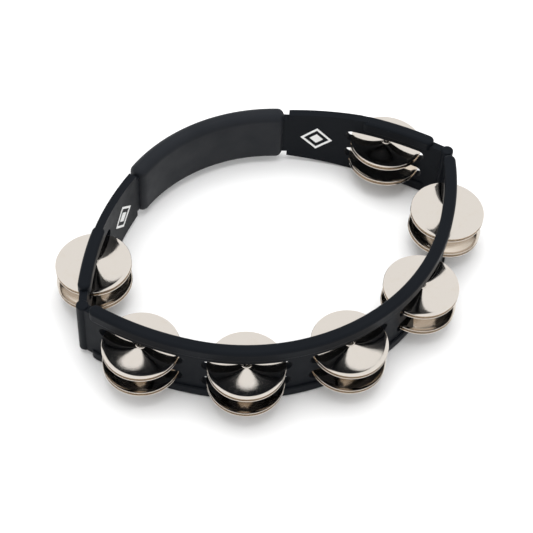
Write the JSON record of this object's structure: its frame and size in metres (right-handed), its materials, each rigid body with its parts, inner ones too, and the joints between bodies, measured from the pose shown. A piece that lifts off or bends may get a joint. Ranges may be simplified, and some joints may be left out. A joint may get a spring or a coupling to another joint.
{
  "type": "tambourine",
  "caption": "Headless hand tambourine: a curved black plastic ring with a soft grip and paired nickel jingles on upright pins in two rows of slots.",
  "frame": {"origin": "centre of the object's bounding box in X and Y, on the plane that its bottom rails rest on", "axes": "+Z is the ring's axis, up; +Y points to the middle of the grip; X runs across the ring, left and right halves mirrored"},
  "size_m": [0.2912, 0.2337, 0.052],
  "materials": {
    "black_plastic": "satin black moulded plastic with a fine pebbled grain",
    "rail_plastic": "satin black moulded plastic, slightly glossier on the worn upper edge",
    "soft_rubber": "soft matte black rubber",
    "jingle_nickel": "polished warm nickel plate on steel sheet",
    "pin_steel": "plain drawn steel rod",
    "white_print": "white satin print"
  },
  "bodies": {
    "frame": {"web_ring": "black_plastic", "grip_sleeve": "soft_rubber", "front_top_rail": "rail_plastic", "left_top_rail": "rail_plastic", "right_top_rail": "rail_plastic", "front_bottom_rail": "rail_plastic", "left_bottom_rail": "rail_plastic", "right_bottom_rail": "rail_plastic", "left_emblem": "white_print", "right_emblem": "white_print"},
    "pin_1": {"pin_1": "pin_steel"},
    "jingle_1_upper_a": {"jingle_1_upper_a": "jingle_nickel"},
    "jingle_1_upper_b": {"jingle_1_upper_b": "jingle_nickel"},
    "jingle_1_lower_a": {"jingle_1_lower_a": "jingle_nickel"},
    "jingle_1_lower_b": {"jingle_1_lower_b": "jingle_nickel"},
    "pin_2": {"pin_2": "pin_steel"},
    "jingle_2_upper_a": {"jingle_2_upper_a": "jingle_nickel"},
    "jingle_2_upper_b": {"jingle_2_upper_b": "jingle_nickel"},
    "jingle_2_lower_a": {"jingle_2_lower_a": "jingle_nickel"},
    "jingle_2_lower_b": {"jingle_2_lower_b": "jingle_nickel"},
    "pin_3": {"pin_3": "pin_steel"},
    "jingle_3_upper_a": {"jingle_3_upper_a": "jingle_nickel"},
    "jingle_3_upper_b": {"jingle_3_upper_b": "jingle_nickel"},
    "jingle_3_lower_a": {"jingle_3_lower_a": "jingle_nickel"},
    "jingle_3_lower_b": {"jingle_3_lower_b": "jingle_nickel"},
    "pin_4": {"pin_4": "pin_steel"},
    "jingle_4_upper_a": {"jingle_4_upper_a": "jingle_nickel"},
    "jingle_4_upper_b": {"jingle_4_upper_b": "jingle_nickel"},
    "jingle_4_lower_a": {"jingle_4_lower_a": "jingle_nickel"},
    "jingle_4_lower_b": {"jingle_4_lower_b": "jingle_nickel"},
    "pin_5": {"pin_5": "pin_steel"},
    "jingle_5_upper_a": {"jingle_5_upper_a": "jingle_nickel"},
    "jingle_5_upper_b": {"jingle_5_upper_b": "jingle_nickel"},
    "jingle_5_lower_a": {"jingle_5_lower_a": "jingle_nickel"},
    "jingle_5_lower_b": {"jingle_5_lower_b": "jingle_nickel"},
    "pin_6": {"pin_6": "pin_steel"},
    "jingle_6_upper_a": {"jingle_6_upper_a": "jingle_nickel"},
    "jingle_6_upper_b": {"jingle_6_upper_b": "jingle_nickel"},
    "jingle_6_lower_a": {"jingle_6_lower_a": "jingle_nickel"},
    "jingle_6_lower_b": {"jingle_6_lower_b": "jingle_nickel"},
    "pin_7": {"pin_7": "pin_steel"},
    "jingle_7_upper_a": {"jingle_7_upper_a": "jingle_nickel"},
    "jingle_7_upper_b": {"jingle_7_upper_b": "jingle_nickel"},
    "jingle_7_lower_a": {"jingle_7_lower_a": "jingle_nickel"},
    "jingle_7_lower_b": {"jingle_7_lower_b": "jingle_nickel"}
  },
  "joints": [
    {"name": "pin_1_turn", "type": "hinge", "parent": "frame", "child": "pin_1", "pos_m": [-0.1159, 0.04486, 0.026], "axis": [0, 0, 1], "continuous": true},
    {"name": "jingle_1_upper_b_slide", "type": "slide", "parent": "pin_1", "child": "jingle_1_upper_b", "axis": [0, 0, 1], "range_m": [0, 0.001]},
    {"name": "jingle_1_upper_a_slide", "type": "slide", "parent": "jingle_1_upper_b", "child": "jingle_1_upper_a", "axis": [0, 0, 1], "range_m": [0, 0.001]},
    {"name": "jingle_1_lower_b_slide", "type": "slide", "parent": "pin_1", "child": "jingle_1_lower_b", "axis": [0, 0, 1], "range_m": [0, 0.001]},
    {"name": "jingle_1_lower_a_slide", "type": "slide", "parent": "jingle_1_lower_b", "child": "jingle_1_lower_a", "axis": [0, 0, 1], "range_m": [0, 0.001]},
    {"name": "pin_2_turn", "type": "hinge", "parent": "frame", "child": "pin_2", "pos_m": [-0.11863, -0.02919, 0.026], "axis": [0, 0, 1], "continuous": true},
    {"name": "jingle_2_upper_b_slide", "type": "slide", "parent": "pin_2", "child": "jingle_2_upper_b", "axis": [0, 0, 1], "range_m": [0, 0.001]},
    {"name": "jingle_2_upper_a_slide", "type": "slide", "parent": "jingle_2_upper_b", "child": "jingle_2_upper_a", "axis": [0, 0, 1], "range_m": [0, 0.001]},
    {"name": "jingle_2_lower_b_slide", "type": "slide", "parent": "pin_2", "child": "jingle_2_lower_b", "axis": [0, 0, 1], "range_m": [0, 0.001]},
    {"name": "jingle_2_lower_a_slide", "type": "slide", "parent": "jingle_2_lower_b", "child": "jingle_2_lower_a", "axis": [0, 0, 1], "range_m": [0, 0.001]},
    {"name": "pin_3_turn", "type": "hinge", "parent": "frame", "child": "pin_3", "pos_m": [-0.06673, -0.07465, 0.026], "axis": [0, 0, 1], "continuous": true},
    {"name": "jingle_3_upper_b_slide", "type": "slide", "parent": "pin_3", "child": "jingle_3_upper_b", "axis": [0, 0, 1], "range_m": [0, 0.001]},
    {"name": "jingle_3_upper_a_slide", "type": "slide", "parent": "jingle_3_upper_b", "child": "jingle_3_upper_a", "axis": [0, 0, 1], "range_m": [0, 0.001]},
    {"name": "jingle_3_lower_b_slide", "type": "slide", "parent": "pin_3", "child": "jingle_3_lower_b", "axis": [0, 0, 1], "range_m": [0, 0.001]},
    {"name": "jingle_3_lower_a_slide", "type": "slide", "parent": "jingle_3_lower_b", "child": "jingle_3_lower_a", "axis": [0, 0, 1], "range_m": [0, 0.001]},
    {"name": "pin_4_turn", "type": "hinge", "parent": "frame", "child": "pin_4", "pos_m": [0, -0.0914, 0.026], "axis": [0, 0, 1], "continuous": true},
    {"name": "jingle_4_upper_b_slide", "type": "slide", "parent": "pin_4", "child": "jingle_4_upper_b", "axis": [0, 0, 1], "range_m": [0, 0.001]},
    {"name": "jingle_4_upper_a_slide", "type": "slide", "parent": "jingle_4_upper_b", "child": "jingle_4_upper_a", "axis": [0, 0, 1], "range_m": [0, 0.001]},
    {"name": "jingle_4_lower_b_slide", "type": "slide", "parent": "pin_4", "child": "jingle_4_lower_b", "axis": [0, 0, 1], "range_m": [0, 0.001]},
    {"name": "jingle_4_lower_a_slide", "type": "slide", "parent": "jingle_4_lower_b", "child": "jingle_4_lower_a", "axis": [0, 0, 1], "range_m": [0, 0.001]},
    {"name": "pin_5_turn", "type": "hinge", "parent": "frame", "child": "pin_5", "pos_m": [0.06673, -0.07465, 0.026], "axis": [0, 0, 1], "continuous": true},
    {"name": "jingle_5_upper_b_slide", "type": "slide", "parent": "pin_5", "child": "jingle_5_upper_b", "axis": [0, 0, 1], "range_m": [0, 0.001]},
    {"name": "jingle_5_upper_a_slide", "type": "slide", "parent": "jingle_5_upper_b", "child": "jingle_5_upper_a", "axis": [0, 0, 1], "range_m": [0, 0.001]},
    {"name": "jingle_5_lower_b_slide", "type": "slide", "parent": "pin_5", "child": "jingle_5_lower_b", "axis": [0, 0, 1], "range_m": [0, 0.001]},
    {"name": "jingle_5_lower_a_slide", "type": "slide", "parent": "jingle_5_lower_b", "child": "jingle_5_lower_a", "axis": [0, 0, 1], "range_m": [0, 0.001]},
    {"name": "pin_6_turn", "type": "hinge", "parent": "frame", "child": "pin_6", "pos_m": [0.11863, -0.02919, 0.026], "axis": [0, 0, 1], "continuous": true},
    {"name": "jingle_6_upper_b_slide", "type": "slide", "parent": "pin_6", "child": "jingle_6_upper_b", "axis": [0, 0, 1], "range_m": [0, 0.001]},
    {"name": "jingle_6_upper_a_slide", "type": "slide", "parent": "jingle_6_upper_b", "child": "jingle_6_upper_a", "axis": [0, 0, 1], "range_m": [0, 0.001]},
    {"name": "jingle_6_lower_b_slide", "type": "slide", "parent": "pin_6", "child": "jingle_6_lower_b", "axis": [0, 0, 1], "range_m": [0, 0.001]},
    {"name": "jingle_6_lower_a_slide", "type": "slide", "parent": "jingle_6_lower_b", "child": "jingle_6_lower_a", "axis": [0, 0, 1], "range_m": [0, 0.001]},
    {"name": "pin_7_turn", "type": "hinge", "parent": "frame", "child": "pin_7", "pos_m": [0.1159, 0.04486, 0.026], "axis": [0, 0, 1], "continuous": true},
    {"name": "jingle_7_upper_b_slide", "type": "slide", "parent": "pin_7", "child": "jingle_7_upper_b", "axis": [0, 0, 1], "range_m": [0, 0.001]},
    {"name": "jingle_7_upper_a_slide", "type": "slide", "parent": "jingle_7_upper_b", "child": "jingle_7_upper_a", "axis": [0, 0, 1], "range_m": [0, 0.001]},
    {"name": "jingle_7_lower_b_slide", "type": "slide", "parent": "pin_7", "child": "jingle_7_lower_b", "axis": [0, 0, 1], "range_m": [0, 0.001]},
    {"name": "jingle_7_lower_a_slide", "type": "slide", "parent": "jingle_7_lower_b", "child": "jingle_7_lower_a", "axis": [0, 0, 1], "range_m": [0, 0.001]}
  ]
}
